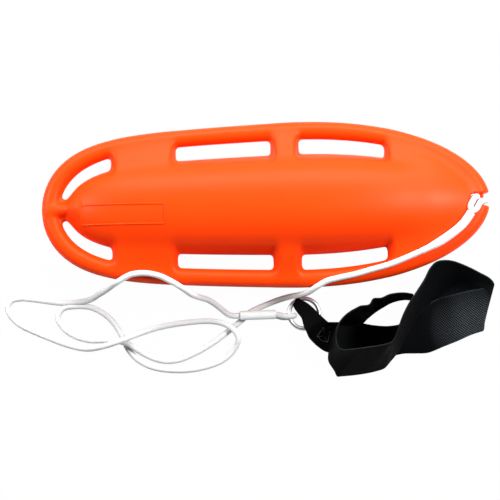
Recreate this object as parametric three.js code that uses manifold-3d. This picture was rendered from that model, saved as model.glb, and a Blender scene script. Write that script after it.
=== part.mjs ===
import * as THREE from 'three';
import { mergeVertices } from 'three/addons/utils/BufferGeometryUtils.js';
import Module from 'manifold-3d';

// Rescue can buoy in millimetres: X runs from tail to nose, Z is up.
// The origin is on the flat of the belly, under the middle of the float.

const wasm = await Module();
wasm.setup();

// Clearances shared by every piece
const GAP = 0.3;
const OVERRUN = 1.5;

// Plan outline of the float
const HULL_LENGTH = 720;
const HULL_HALF_WIDTH = 134;
const WIDEST_X = 56;
const MID_Z = 65;
const TAIL_LENGTH = HULL_LENGTH / 2 + WIDEST_X;
const NOSE_LENGTH = HULL_LENGTH / 2 - WIDEST_X;
const TAPER_SHARE = 0.172;
const TAPER_POWER = 1.3;
const TAIL_POWER = 7;
const TAIL_ROOT = 0.5;
const NOSE_POWER = 2.15;
const NOSE_ROOT = 0.52;

// Grab rail and the six hand slots
const RAIL_WIDTH = 28.5;
const RAIL_HALF_HEIGHT = 15;
const SLOT_WIDTH = 26;
const SLOT_CORNER = 8;
const SLOT_MIDDLE = RAIL_WIDTH + SLOT_WIDTH / 2;
const TAIL_SLOT_HALF_WEB = 17.5;
const TAIL_SLOT_END_X = -247;
const MID_SLOT_START_X = -144;
const MID_SLOT_END_X = 10.5;
const FRONT_SLOT_START_X = 54;
const FRONT_SLOT_END_X = 194;

// Torpedo body between the slots
const BODY_HALF_WIDTH = 77;
const BODY_TAIL_LENGTH = 376;
const BODY_NOSE_LENGTH = 300;
const BODY_TAIL_POWER = 8;
const BODY_HEIGHT_TAPER_SHARE = 0.3;
const BODY_NOSE_HEIGHT_ROOT = 0.9;
const BODY_HALF_HEIGHT = 65;
const BELLY_HALF_HEIGHT = 68.5;
const SKIRT_WIDTH = 13;
const FLARE_START_X = 194;
const FLARE_END_X = 250;
const BODY_SQUARENESS = 2.2;
const NOSE_SQUARENESS = 1.7;

// Moulded wall and the solid nose block
const WALL = 3.2;
const NOSE_BLOCK_X = 316;

// Tow hole, rope groove and notch in the nose
const TOW_HOLE_X = 335;
const TOW_HOLE_RADIUS = 9.5;
const BRIDGE_FRONT_X = 349.5;
const BRIDGE_HALF_HEIGHT = 6;
const GROOVE_START_X = 338;
const GROOVE_START_HALF_WIDTH = 9;
const GROOVE_END_HALF_WIDTH = 11.4;

// Fill plug under the belly
const PLUG_X = -58;
const PLUG_HEAD_RADIUS = 12;
const PLUG_HEAD_HEIGHT = 3;
const PLUG_SHANK_RADIUS = 7.5;
const PLUG_TOP_Z = 20;
const PLUG_SINK = 0.6;
const GASKET_HEIGHT = 1.2;
const GASKET_BORE_RADIUS = 8.6;
const BOSS_RADIUS = 18;
const BOSS_TOP_Z = 22;
const RECESS_RADIUS = PLUG_HEAD_RADIUS + 2 * GAP;
const RECESS_HEIGHT = PLUG_SINK + PLUG_HEAD_HEIGHT + GASKET_HEIGHT + 2 * GAP;

// Rope, splice and sleeve
const ROPE_RADIUS = 4.75;
const SPLICE_RADIUS = 6.5;
const SLEEVE_RADIUS = 7.5;

// Tow ring
const RING_X = 58;
const RING_Y = -173;
const RING_MEAN_RADIUS = 24.5;
const RING_WIRE_RADIUS = 3.5;
const RING_Z = 2 * ROPE_RADIUS + 2 * GAP + RING_WIRE_RADIUS;

// Webbing
const WEB_THICKNESS = 2;
const FOLD_TURN = THREE.MathUtils.degToRad(128);
const FOLD_WIDTH = 26;
const FOLD_FLAT = 11;
const FOLD_LENGTH = 84.6;
const FOLD_SEAM_HEIGHT = 17;
const FOLD_CUT_RISE = 20;
const STITCH_SIZE = 20;
const STITCH_WIDTH = 2;
const STITCH_HEIGHT = 0.6;
const STITCH_MIDDLE = 62;
const STRAP_REACH = 310;
const STRAP_WIDTH = 75;
const STRAP_THICKNESS = 4;

// Facet counts
const OUTLINE_STEPS = 120;
const PLATE_SIDE_STEPS = 40;
const CAVITY_SIDE_STEPS = 26;
const RIM_STEPS = 6;
const CAVITY_RIM_STEPS = 4;
const CORNER_STEPS = 3;
const FOLD_STEPS = 8;
const SLOT_SIDE_STEPS = 5;
const BODY_STEPS = 12;
const BODY_ROUND_STEPS = 24;
const ROPE_SIDES = 8;
const SLEEVE_SIDES = 12;
const ROUND_SIDES = 32;

// Route of the free rope, from the splice on the nose to the sleeve
const ROPE_ROUTE = [
  [245.6, -81.75, 90.4], [219, -92.5, 87.4], [193, -102, 86], [166, -109, 86], [139, -116, 86],
  [113, -121, 86], [92, -126, 85], [77, -134, 81], [63, -142, 69], [48, -145, 52],
  [35, -146, 34], [20, -149, 19], [4, -154, 9], [-17, -162, 5], [-31, -169, 5],
  [-43, -180, 5], [-58, -192, 5], [-94, -218, 5], [-122, -233, 5], [-149, -243, 5],
  [-172, -244, 5], [-195, -237, 5], [-214, -226, 9], [-230, -215, 15], [-247, -210, 15.5],
  [-267, -208, 9], [-294, -207, 5], [-319, -199, 5], [-337, -185, 5], [-345, -169, 5],
  [-337, -155, 5], [-314, -151, 5], [-289, -154, 5], [-264, -169, 5], [-248, -188, 5],
  [-238, -207, 5], [-230, -224, 5], [-215, -241, 5], [-190, -254, 5], [-149, -260, 5],
  [-112, -257, 5], [-78, -246, 5], [-57, -228, 9], [-50, -210, 15.5], [-58, -196, 16],
  [-74, -186, 12], [-98, -181, 6], [-140, -183, 5.5], [-178, -189, 10], [-208, -198, 19],
  [-238, -209, 26.5], [-270, -218, 20], [-298, -221, 9], [-326, -215, 5], [-357, -203, 5],
  [-384, -191, 5], [-407, -179, 5], [-422, -164, 5], [-427, -149, 5], [-420, -139, 5],
  [-405, -136, 5], [-384, -138, 5], [-360, -142, 5], [-338, -145, 6], [-314, -145, 7],
  [-292, -142, 16], [-274, -135, 38], [-257, -128, 62], [-240, -119, 82], [-218, -108, 86],
  [-195, -106, 86], [-172, -111, 86], [-152, -121, 86], [-136, -131, 80], [-123, -140, 66],
  [-111, -144, 48], [-99, -147, 30], [-88, -153, 17], [-77, -162, 14], [-66, -171, 17],
  [-57, -174, 19], [-47.5, -174, 18.8],
];

// Middle line of the sleeve, whose face the free rope meets
const SLEEVE_ROUTE = [
  [-47, -174, 18.8], [-32, -173.8, 18], [-17, -173.6, 16], [-2, -173.3, 13.2], [12.8, -173, 10.4],
];

// Splice laid over the skirt of the nose
const SPLICE_ROUTE = [
  [325, -23, 89], [314, -38, 89.2], [300, -50.5, 89.6], [273, -68.5, 90], [246.5, -81.3, 90.4],
];

// Rope eye through the tow hole and round the bridge
const NOSE_EYE_ROUTE = [
  [347, -3.5, 77.4], [342.2, -5, 82.7], [338.5, -10, 86.4], [333.9, -17.2, 86.6],
  [327.2, -19.6, 87], [324.8, -12.5, 87.6], [328.5, -5, 88.2], [332.5, 0.8, 87.6],
  [336.2, 3, 82.5], [337.8, 2.8, 75], [338.2, 2.4, 65], [338.6, 2, 57.6],
  [342.2, 1.5, 53.6], [347, 1, 52.8], [353.3, 0, 55.1], [355.6, -0.6, 62],
  [355.6, -1.4, 68], [353.5, -2.4, 75],
];

// Eye round the ring wire: reach towards the ring and height, from the wire
const RING_EYE_PROFILE = [
  [0, -8.6], [6.4, -6.3], [9, 0], [6.4, 6.4], [0, 9], [-6.2, 7], [-9.8, 3.2],
  [-13.4, 1.2], [-15.8, -3.4], [-13.4, -8], [-8, -8.6],
];

// Corners of what is cut from each side of the folded webbing: reach and side
const FOLD_EYE_SIDE_CUT = [[-12, -14], [31, -14], [18, -6.2], [-12, -6.2]];
const FOLD_FAR_SIDE_CUT = [[-12, 10], [3, 10], [12, 14], [-12, 14]];

// Strap band: lower edge then upper edge of each station, as shares of the
// reach from the ring in X and Y and of the webbing width in Z
const STRAP_STATION_SHARES = [
  [0.12, -0.2, 0.03, 0.2, -0.07, 0.64], [0.14, -0.27, 0.03, 0.23, -0.12, 0.5],
  [0.25, -0.29, 0.03, 0.3, -0.1, 0.45], [0.38, -0.26, 0.03, 0.39, -0.09, 0.45],
  [0.51, -0.22, 0.03, 0.48, -0.08, 0.45], [0.63, -0.2, 0.03, 0.58, -0.03, 0.45],
  [0.75, -0.17, 0.03, 0.69, 0.02, 0.5], [0.86, -0.13, 0.03, 0.83, 0.05, 0.55],
  [0.95, -0.09, 0.03, 0.94, 0.08, 0.62], [0.97, 0, 0.03, 0.96, 0.12, 0.75],
  [0.93, 0.08, 0.03, 0.89, 0.18, 0.86], [0.83, 0.12, 0.03, 0.8, 0.21, 0.88],
  [0.76, 0.13, 0.03, 0.72, 0.22, 0.88], [0.7, 0.1, 0.03, 0.65, 0.18, 0.88],
  [0.62, 0.06, 0.03, 0.59, 0.11, 0.88], [0.53, 0.04, 0.03, 0.5, 0.08, 0.88],
  [0.44, 0.02, 0.03, 0.42, 0.06, 0.88], [0.36, -0.01, 0.03, 0.34, 0.04, 0.88],
  [0.27, -0.06, 0.03, 0.26, 0, 0.86], [0.19, -0.12, 0.03, 0.2, -0.03, 0.8],
];

// Basic helpers

function vector(point) {
  return new THREE.Vector3(point[0], point[1], point[2]);
}

function blend(low, high, value) {
  return THREE.MathUtils.smoothstep(value, low, high);
}

function signedPower(value, power) {
  return Math.sign(value) * Math.pow(Math.abs(value), power);
}

function geometryFrom(points, faces) {
  const geometry = new THREE.BufferGeometry();
  const values = points.flatMap((point) => [point.x, point.y, point.z]);
  geometry.setAttribute('position', new THREE.Float32BufferAttribute(values, 3));
  geometry.setIndex(faces.flat());
  return geometry;
}

function signedVolume(points, faces) {
  let total = 0;
  for (const [a, b, c] of faces) {
    total += points[a].dot(points[b].clone().cross(points[c]));
  }
  return total;
}

function facingOut(points, faces) {
  if (signedVolume(points, faces) > 0) {
    return geometryFrom(points, faces);
  }
  return geometryFrom(points, faces.map(([a, b, c]) => [a, c, b]));
}

function bandFaces(ringCount, ringSize, closed) {
  const faces = [];
  const last = closed ? ringCount : ringCount - 1;
  for (let ring = 0; ring < last; ring += 1) {
    const here = ring * ringSize;
    const next = ((ring + 1) % ringCount) * ringSize;
    for (let side = 0; side < ringSize; side += 1) {
      const turn = (side + 1) % ringSize;
      faces.push([here + side, next + side, next + turn]);
      faces.push([here + side, next + turn, here + turn]);
    }
  }
  return faces;
}

function middleOf(ring) {
  const sum = new THREE.Vector3();
  ring.forEach((point) => sum.add(point));
  return sum.divideScalar(ring.length);
}

// Skin over a row of rings, with a fan over each end
function loft(rings) {
  const size = rings[0].length;
  const points = rings.flat();
  const faces = bandFaces(rings.length, size, false);
  const first = points.length;
  const lastRing = (rings.length - 1) * size;
  points.push(middleOf(rings[0]), middleOf(rings[rings.length - 1]));
  for (let side = 0; side < size; side += 1) {
    const turn = (side + 1) % size;
    faces.push([first, side, turn]);
    faces.push([first + 1, lastRing + turn, lastRing + side]);
  }
  return facingOut(points, faces);
}

// Skin over a closed circle of rings
function loopedLoft(rings) {
  return facingOut(rings.flat(), bandFaces(rings.length, rings[0].length, true));
}

function solid(geometry) {
  const bare = geometry.clone();
  bare.deleteAttribute('normal');
  bare.deleteAttribute('uv');
  const merged = mergeVertices(bare);
  return new wasm.Manifold(new wasm.Mesh({
    numProp: 3,
    vertProperties: new Float32Array(merged.attributes.position.array),
    triVerts: new Uint32Array(merged.index.array),
  }));
}

function geometryOf(body) {
  const mesh = body.getMesh();
  const geometry = new THREE.BufferGeometry();
  const values = new THREE.BufferAttribute(new Float32Array(mesh.vertProperties), mesh.numProp);
  geometry.setAttribute('position', values);
  geometry.setIndex(new THREE.BufferAttribute(new Uint32Array(mesh.triVerts), 1));
  return geometry;
}

function blockBetween(low, high) {
  const size = high.clone().sub(low);
  const middle = high.clone().add(low).divideScalar(2);
  const geometry = new THREE.BoxGeometry(size.x, size.y, size.z);
  geometry.translate(middle.x, middle.y, middle.z);
  return solid(geometry);
}

function uprightCylinder(radius, x, low, high) {
  const geometry = new THREE.CylinderGeometry(radius, radius, high - low, ROUND_SIDES);
  geometry.rotateX(Math.PI / 2);
  geometry.translate(x, 0, (low + high) / 2);
  return solid(geometry);
}

function uprightPrism(corners, low, high) {
  const shape = new THREE.Shape(corners.map(([x, y]) => new THREE.Vector2(x, y)));
  const geometry = new THREE.ExtrudeGeometry(shape, { depth: high - low, bevelEnabled: false });
  geometry.translate(0, 0, low);
  return solid(geometry);
}

// Float outline

function outlineHalfWidth(x, inset) {
  const width = HULL_HALF_WIDTH - inset;
  if (x < WIDEST_X) {
    const share = Math.min(1, (WIDEST_X - x) / (TAIL_LENGTH - inset));
    const taper = 1 - TAPER_SHARE * Math.pow(share, TAPER_POWER);
    return width * taper * Math.pow(1 - Math.pow(share, TAIL_POWER), TAIL_ROOT);
  }
  const share = Math.min(1, (x - WIDEST_X) / (NOSE_LENGTH - inset));
  return width * Math.pow(1 - Math.pow(share, NOSE_POWER), NOSE_ROOT);
}

// One side of the outline from tail tip to nose tip, closely spaced
function outlineSide(inset) {
  const points = [];
  for (let step = 0; step <= OUTLINE_STEPS; step += 1) {
    const share = 1 - Math.pow(step / OUTLINE_STEPS, 3);
    const x = WIDEST_X - (TAIL_LENGTH - inset) * share;
    points.push(new THREE.Vector2(x, outlineHalfWidth(x, inset)));
  }
  for (let step = OUTLINE_STEPS - 1; step >= 0; step -= 1) {
    const share = 1 - Math.pow(step / OUTLINE_STEPS, 3);
    const x = WIDEST_X + (NOSE_LENGTH - inset) * share;
    points.push(new THREE.Vector2(x, outlineHalfWidth(x, inset)));
  }
  return points;
}

function runningLengths(points) {
  const lengths = [0];
  for (let index = 1; index < points.length; index += 1) {
    lengths.push(lengths[index - 1] + points[index].distanceTo(points[index - 1]));
  }
  return lengths;
}

function pointAlong(points, lengths, share) {
  const wanted = share * lengths[lengths.length - 1];
  let index = 1;
  while (index < lengths.length - 1 && lengths[index] < wanted) {
    index += 1;
  }
  const span = lengths[index] - lengths[index - 1];
  const part = (wanted - lengths[index - 1]) / span;
  return points[index - 1].clone().lerp(points[index], part);
}

function outlineRing(inset, z, sideSteps) {
  const points = outlineSide(inset);
  const lengths = runningLengths(points);
  const ring = [];
  for (let step = 0; step <= sideSteps; step += 1) {
    const place = pointAlong(points, lengths, step / sideSteps);
    ring.push(new THREE.Vector3(place.x, place.y, z));
  }
  for (let step = sideSteps - 1; step > 0; step -= 1) {
    ring.push(new THREE.Vector3(ring[step].x, -ring[step].y, z));
  }
  return ring;
}

// Rounded edge of the rail: how far each level steps in, and its height
function edgeLevels(inset) {
  const steps = inset > 0 ? CAVITY_RIM_STEPS : RIM_STEPS;
  const radius = RAIL_WIDTH / 2 - inset;
  const height = RAIL_HALF_HEIGHT - inset;
  const levels = [];
  for (let step = 0; step <= steps; step += 1) {
    const turn = Math.PI * (step / steps - 1 / 2);
    levels.push({ step: radius * (1 - Math.cos(turn)), z: height * Math.sin(turn) });
  }
  return levels;
}

function plate(inset, sideSteps) {
  const rings = edgeLevels(inset).map(
    (level) => outlineRing(inset + level.step, MID_Z + level.z, sideSteps));
  return solid(loft(rings));
}

// Hand slots

function lengthAtX(points, lengths, x) {
  return lengths[points.findIndex((point) => point.x >= x)];
}

function lengthAtY(points, lengths, y) {
  return lengths[points.findIndex((point) => point.y >= y)];
}

function slotSpans() {
  const points = outlineSide(SLOT_MIDDLE);
  const lengths = runningLengths(points);
  const total = lengths[lengths.length - 1];
  const spans = [
    [lengthAtY(points, lengths, TAIL_SLOT_HALF_WEB), lengthAtX(points, lengths, TAIL_SLOT_END_X)],
    [lengthAtX(points, lengths, MID_SLOT_START_X), lengthAtX(points, lengths, MID_SLOT_END_X)],
    [lengthAtX(points, lengths, FRONT_SLOT_START_X), lengthAtX(points, lengths, FRONT_SLOT_END_X)],
  ];
  return spans.map(([start, end]) => ({ start, end, total }));
}

// Rounded rectangle with its long side along the outline
function slotShape(span, growth) {
  const halfLong = (span.end - span.start) / 2 + growth;
  const halfWide = SLOT_WIDTH / 2 + growth;
  const corner = SLOT_CORNER + growth;
  const signs = [[1, 1], [-1, 1], [-1, -1], [1, -1]];
  const shape = [];
  signs.forEach(([along, across], quarter) => {
    for (let step = 0; step <= CORNER_STEPS; step += 1) {
      const turn = (quarter + step / CORNER_STEPS) * Math.PI / 2;
      const long = along * (halfLong - corner) + corner * Math.cos(turn);
      const wide = across * (halfWide - corner) + corner * Math.sin(turn);
      shape.push([long, wide]);
    }
    if (quarter % 2 === 0) {
      addSidePoints(shape, along * (halfLong - corner), across * halfWide);
    }
  });
  return shape.map(([long, wide]) => [(span.start + span.end) / 2 + long, SLOT_MIDDLE + wide]);
}

function addSidePoints(shape, from, wide) {
  for (let step = 1; step < SLOT_SIDE_STEPS; step += 1) {
    shape.push([from * (1 - 2 * step / SLOT_SIDE_STEPS), wide]);
  }
}

function slotRing(span, growth, z) {
  return slotShape(span, growth).map(([along, inset]) => {
    const points = outlineSide(inset);
    const place = pointAlong(points, runningLengths(points), along / span.total);
    return new THREE.Vector3(place.x, place.y, z);
  });
}

function slotCutter(span, inset) {
  const levels = edgeLevels(inset);
  const rings = levels.map((level) => slotRing(span, inset + level.step, MID_Z + level.z));
  const reach = RAIL_HALF_HEIGHT - inset + OVERRUN;
  const widest = inset + levels[0].step;
  rings.unshift(slotRing(span, widest, MID_Z - reach));
  rings.push(slotRing(span, widest, MID_Z + reach));
  return solid(loft(rings));
}

function slottedPlate(inset, sideSteps) {
  let body = plate(inset, sideSteps);
  for (const span of slotSpans()) {
    const cutter = slotCutter(span, inset);
    body = body.subtract(cutter).subtract(cutter.mirror([0, 1, 0]));
  }
  return body;
}

// Torpedo body

function bodyHalfWidth(x) {
  if (x < WIDEST_X) {
    const share = Math.min(1, (WIDEST_X - x) / BODY_TAIL_LENGTH);
    const taper = 1 - TAPER_SHARE * Math.pow(share, TAPER_POWER);
    return BODY_HALF_WIDTH * taper * Math.sqrt(1 - Math.pow(share, BODY_TAIL_POWER));
  }
  const share = Math.min(1, (x - WIDEST_X) / BODY_NOSE_LENGTH);
  const plain = BODY_HALF_WIDTH * Math.pow(1 - Math.pow(share, NOSE_POWER), NOSE_ROOT);
  const skirt = outlineHalfWidth(x, SKIRT_WIDTH);
  return THREE.MathUtils.lerp(plain, skirt, blend(FLARE_START_X, FLARE_END_X, x));
}

function bodyHalfHeight(x) {
  if (x < WIDEST_X) {
    const share = Math.min(1, (WIDEST_X - x) / BODY_TAIL_LENGTH);
    const taper = 1 - BODY_HEIGHT_TAPER_SHARE * Math.pow(share, TAPER_POWER);
    return BODY_HALF_HEIGHT * taper * Math.sqrt(1 - Math.pow(share, BODY_TAIL_POWER));
  }
  const share = Math.min(1, (x - WIDEST_X) / NOSE_LENGTH);
  return BODY_HALF_HEIGHT * Math.pow(1 - Math.pow(share, NOSE_POWER), BODY_NOSE_HEIGHT_ROOT);
}

function bodyRing(x, inset) {
  const width = Math.max(0, bodyHalfWidth(x) - inset);
  const height = Math.max(0, bodyHalfHeight(x) - inset);
  const belly = height * BELLY_HALF_HEIGHT / BODY_HALF_HEIGHT;
  const square = THREE.MathUtils.lerp(
    BODY_SQUARENESS, NOSE_SQUARENESS, blend(FLARE_START_X, FLARE_END_X, x));
  const ring = [];
  for (let side = 0; side < BODY_ROUND_STEPS; side += 1) {
    const turn = 2 * Math.PI * side / BODY_ROUND_STEPS;
    const y = width * signedPower(Math.cos(turn), 2 / square);
    const rise = signedPower(Math.sin(turn), 2 / square);
    ring.push(new THREE.Vector3(x, y, MID_Z + rise * (rise > 0 ? height : belly)));
  }
  return ring;
}

function bodyStations() {
  const tail = WIDEST_X - BODY_TAIL_LENGTH;
  const nose = WIDEST_X + NOSE_LENGTH - SKIRT_WIDTH;
  const stations = [];
  for (let step = 1; step <= BODY_STEPS; step += 1) {
    const share = 1 - Math.pow(step / BODY_STEPS, 2);
    stations.push(WIDEST_X + (tail - WIDEST_X) * share);
  }
  for (let step = BODY_STEPS - 1; step >= 1; step -= 1) {
    const share = 1 - Math.pow(step / BODY_STEPS, 2);
    stations.push(WIDEST_X + (nose - WIDEST_X) * share);
  }
  return stations;
}

// Stations whose section would shrink below twice the inset are left out
function torpedo(inset) {
  const stations = bodyStations().filter((x) => {
    const smallest = Math.min(bodyHalfWidth(x), bodyHalfHeight(x));
    return smallest > 2 * inset;
  });
  return solid(loft(stations.map((x) => bodyRing(x, inset))));
}

function floatRegion(endX, floorZ) {
  const low = new THREE.Vector3(-HULL_LENGTH, -HULL_LENGTH, floorZ);
  const high = new THREE.Vector3(endX, HULL_LENGTH, HULL_LENGTH);
  return blockBetween(low, high);
}

// Nose fittings

function noseCutters() {
  const far = HULL_LENGTH / 2 + OVERRUN;
  const top = MID_Z + BODY_HALF_HEIGHT;
  const bottom = MID_Z - BODY_HALF_HEIGHT;
  const slope = (GROOVE_END_HALF_WIDTH - GROOVE_START_HALF_WIDTH) / (far - GROOVE_START_X);
  const notchHalf = GROOVE_START_HALF_WIDTH + slope * (BRIDGE_FRONT_X - GROOVE_START_X);
  const groove = [
    [GROOVE_START_X, -GROOVE_START_HALF_WIDTH], [far, -GROOVE_END_HALF_WIDTH],
    [far, GROOVE_END_HALF_WIDTH], [GROOVE_START_X, GROOVE_START_HALF_WIDTH],
  ];
  const notch = [
    [BRIDGE_FRONT_X, -notchHalf], [far, -GROOVE_END_HALF_WIDTH],
    [far, GROOVE_END_HALF_WIDTH], [BRIDGE_FRONT_X, notchHalf],
  ];
  return uprightCylinder(TOW_HOLE_RADIUS, TOW_HOLE_X, bottom, top)
    .add(uprightPrism(groove, MID_Z + BRIDGE_HALF_HEIGHT, top))
    .add(uprightPrism(groove, bottom, MID_Z - BRIDGE_HALF_HEIGHT))
    .add(uprightPrism(notch, bottom, top));
}

// Hollow float, cut along the moulded parting line

function hollowFloat() {
  const outside = slottedPlate(0, PLATE_SIDE_STEPS).add(torpedo(0));
  const inside = slottedPlate(WALL, CAVITY_SIDE_STEPS).add(torpedo(WALL));
  const cavity = inside.intersect(floatRegion(NOSE_BLOCK_X, WALL));
  const boss = uprightCylinder(BOSS_RADIUS, PLUG_X, OVERRUN, BOSS_TOP_Z);
  const bore = uprightCylinder(PLUG_SHANK_RADIUS + GAP, PLUG_X, -OVERRUN, BOSS_TOP_Z + OVERRUN);
  const recess = uprightCylinder(RECESS_RADIUS, PLUG_X, -OVERRUN, RECESS_HEIGHT);
  return outside.subtract(cavity).add(boss).subtract(bore).subtract(recess)
    .subtract(noseCutters()).intersect(floatRegion(HULL_LENGTH, 0));
}

function halfShell(whole, upper) {
  const edge = GAP / 2;
  const lowZ = upper ? MID_Z + edge : -OVERRUN;
  const highZ = upper ? HULL_LENGTH : MID_Z - edge;
  const low = new THREE.Vector3(-HULL_LENGTH, -HULL_LENGTH, lowZ);
  const high = new THREE.Vector3(HULL_LENGTH, HULL_LENGTH, highZ);
  return geometryOf(whole.intersect(blockBetween(low, high)));
}

function foamCore() {
  const inset = WALL + 2 * GAP;
  const block = torpedo(inset).intersect(floatRegion(NOSE_BLOCK_X - GAP, inset));
  const pocket = uprightCylinder(BOSS_RADIUS + GAP, PLUG_X, 0, BOSS_TOP_Z + GAP);
  return geometryOf(block.subtract(pocket));
}

function latheAtPlug(profile) {
  const points = profile.map(([radius, z]) => new THREE.Vector2(radius, z));
  const geometry = new THREE.LatheGeometry(points, ROUND_SIDES);
  geometry.rotateX(Math.PI / 2);
  geometry.translate(PLUG_X, 0, 0);
  return geometryOf(solid(geometry));
}

function fillPlug() {
  const headTop = PLUG_SINK + PLUG_HEAD_HEIGHT;
  return latheAtPlug([
    [0, PLUG_SINK], [PLUG_HEAD_RADIUS, PLUG_SINK], [PLUG_HEAD_RADIUS, headTop],
    [PLUG_SHANK_RADIUS, headTop], [PLUG_SHANK_RADIUS, PLUG_TOP_Z], [0, PLUG_TOP_Z],
  ]);
}

function plugGasket() {
  const low = PLUG_SINK + PLUG_HEAD_HEIGHT + GAP;
  const high = low + GASKET_HEIGHT;
  return latheAtPlug([
    [GASKET_BORE_RADIUS, low], [PLUG_HEAD_RADIUS, low], [PLUG_HEAD_RADIUS, high],
    [GASKET_BORE_RADIUS, high], [GASKET_BORE_RADIUS, low],
  ]);
}

// Rope pieces

function circleShape(radius, sides) {
  const points = [];
  for (let side = 0; side < sides; side += 1) {
    const turn = 2 * Math.PI * side / sides;
    points.push(new THREE.Vector2(radius * Math.cos(turn), radius * Math.sin(turn)));
  }
  return new THREE.Shape(points);
}

function ropeAlong(route, radius, steps) {
  const curve = new THREE.CatmullRomCurve3(route.map(vector));
  return new THREE.ExtrudeGeometry(circleShape(radius, ROPE_SIDES), {
    steps, bevelEnabled: false, extrudePath: curve,
  });
}

function ropeLoop(points, radius) {
  const curve = new THREE.CatmullRomCurve3(points, true);
  return new THREE.TubeGeometry(curve, 2 * points.length, radius, ROPE_SIDES, true);
}


function ringEye(radius) {
  const wireX = RING_X - RING_MEAN_RADIUS;
  const points = RING_EYE_PROFILE.map(
    ([reach, rise]) => new THREE.Vector3(wireX + reach, RING_Y, RING_Z + rise));
  return ropeLoop(points, radius);
}

function towRing() {
  const geometry = new THREE.TorusGeometry(
    RING_MEAN_RADIUS, RING_WIRE_RADIUS, SLEEVE_SIDES, ROUND_SIDES);
  geometry.translate(RING_X, RING_Y, RING_Z);
  return geometry;
}

// Webbing fold round the ring

function foldWirePoint() {
  const x = RING_X + RING_MEAN_RADIUS * Math.cos(FOLD_TURN);
  const y = RING_Y + RING_MEAN_RADIUS * Math.sin(FOLD_TURN);
  return new THREE.Vector3(x, y, RING_Z);
}

// Middle line of the folded webbing: distance from the wire and height
function foldLine() {
  const wrap = RING_WIRE_RADIUS + GAP + WEB_THICKNESS / 2;
  const apart = WEB_THICKNESS / 2 + GAP;
  const rest = RING_WIRE_RADIUS + GAP + WEB_THICKNESS / 2;
  const line = [];
  line.push([FOLD_LENGTH, FOLD_SEAM_HEIGHT - RING_Z - apart]);
  line.push([2 * RING_MEAN_RADIUS, rest]);
  line.push([2 * RING_MEAN_RADIUS - FOLD_FLAT, rest]);
  line.push([FOLD_FLAT, -wrap]);
  for (let step = 0; step <= FOLD_STEPS; step += 1) {
    const turn = -Math.PI / 2 - Math.PI * step / FOLD_STEPS;
    line.push([wrap * Math.cos(turn), wrap * Math.sin(turn)]);
  }
  line.push([2 * RING_MEAN_RADIUS, rest + 2 * apart]);
  line.push([FOLD_LENGTH, FOLD_SEAM_HEIGHT - RING_Z + apart]);
  return line.map(([reach, rise]) => new THREE.Vector2(reach, rise));
}

function thickLine(line, thickness) {
  const sides = [[], []];
  line.forEach((point, index) => {
    const before = line[Math.max(0, index - 1)];
    const after = line[Math.min(line.length - 1, index + 1)];
    const along = after.clone().sub(before).normalize();
    const across = new THREE.Vector2(-along.y, along.x).multiplyScalar(thickness / 2);
    sides[0].push(point.clone().add(across));
    sides[1].unshift(point.clone().sub(across));
  });
  return new THREE.Shape(sides[0].concat(sides[1]));
}

// Turns a profile of reach and height into place round the ring wire
function placeOnFold(geometry) {
  const wire = foldWirePoint();
  geometry.rotateX(Math.PI / 2);
  geometry.rotateZ(FOLD_TURN + Math.PI);
  geometry.translate(wire.x, wire.y, wire.z);
  return geometry;
}

// Upright block over an area of reach and side, to cut the folded webbing with
function foldBlock(corners) {
  const shape = new THREE.Shape(corners.map(([reach, side]) => new THREE.Vector2(reach, side)));
  const geometry = new THREE.ExtrudeGeometry(shape, {
    depth: 2 * FOLD_CUT_RISE, bevelEnabled: false,
  });
  const wire = foldWirePoint();
  geometry.translate(0, 0, -FOLD_CUT_RISE);
  geometry.rotateZ(FOLD_TURN + Math.PI);
  geometry.translate(wire.x, wire.y, wire.z);
  return solid(geometry);
}

// The webbing narrows round the wire and leaves room for the rope eye beside it
function strapFold() {
  const geometry = new THREE.ExtrudeGeometry(thickLine(foldLine(), WEB_THICKNESS), {
    depth: FOLD_WIDTH, bevelEnabled: false,
  });
  geometry.translate(0, 0, -FOLD_WIDTH / 2);
  const cut = foldBlock(FOLD_EYE_SIDE_CUT).add(foldBlock(FOLD_FAR_SIDE_CUT));
  return geometryOf(solid(placeOnFold(geometry)).subtract(cut));
}

function squareShape(half) {
  return new THREE.Shape([
    new THREE.Vector2(-half, -half), new THREE.Vector2(half, -half),
    new THREE.Vector2(half, half), new THREE.Vector2(-half, half),
  ]);
}

function strapStitching() {
  const shape = squareShape(STITCH_SIZE / 2);
  shape.holes.push(squareShape(STITCH_SIZE / 2 - STITCH_WIDTH));
  const geometry = new THREE.ExtrudeGeometry(shape, { depth: STITCH_HEIGHT, bevelEnabled: false });
  geometry.rotateX(-Math.PI / 2);
  const layers = 2 * WEB_THICKNESS + 2 * GAP;
  const rise = RING_WIRE_RADIUS + GAP + layers + GAP;
  geometry.translate(STITCH_MIDDLE, rise, 0);
  return placeOnFold(geometry);
}

// Shoulder strap

function strapPoint(station, first) {
  const x = RING_X + STRAP_REACH * station[first];
  const y = RING_Y + STRAP_REACH * station[first + 1];
  return new THREE.Vector3(x, y, STRAP_WIDTH * station[first + 2]);
}

function shoulderStrap() {
  const lower = new THREE.CatmullRomCurve3(
    STRAP_STATION_SHARES.map((station) => strapPoint(station, 0)), true);
  const upper = new THREE.CatmullRomCurve3(
    STRAP_STATION_SHARES.map((station) => strapPoint(station, 3)), true);
  const steps = 2 * STRAP_STATION_SHARES.length;
  const rings = [];
  for (let step = 0; step < steps; step += 1) {
    rings.push(strapSection(lower, upper, step / steps));
  }
  return loopedLoft(rings);
}

function strapSection(lower, upper, share) {
  const bottom = lower.getPoint(share);
  const top = upper.getPoint(share);
  const along = lower.getTangent(share).add(upper.getTangent(share));
  const across = along.cross(top.clone().sub(bottom)).normalize();
  across.multiplyScalar(STRAP_THICKNESS / 2);
  return [
    bottom.clone().sub(across), bottom.clone().add(across),
    top.clone().add(across), top.clone().sub(across),
  ];
}

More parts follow.
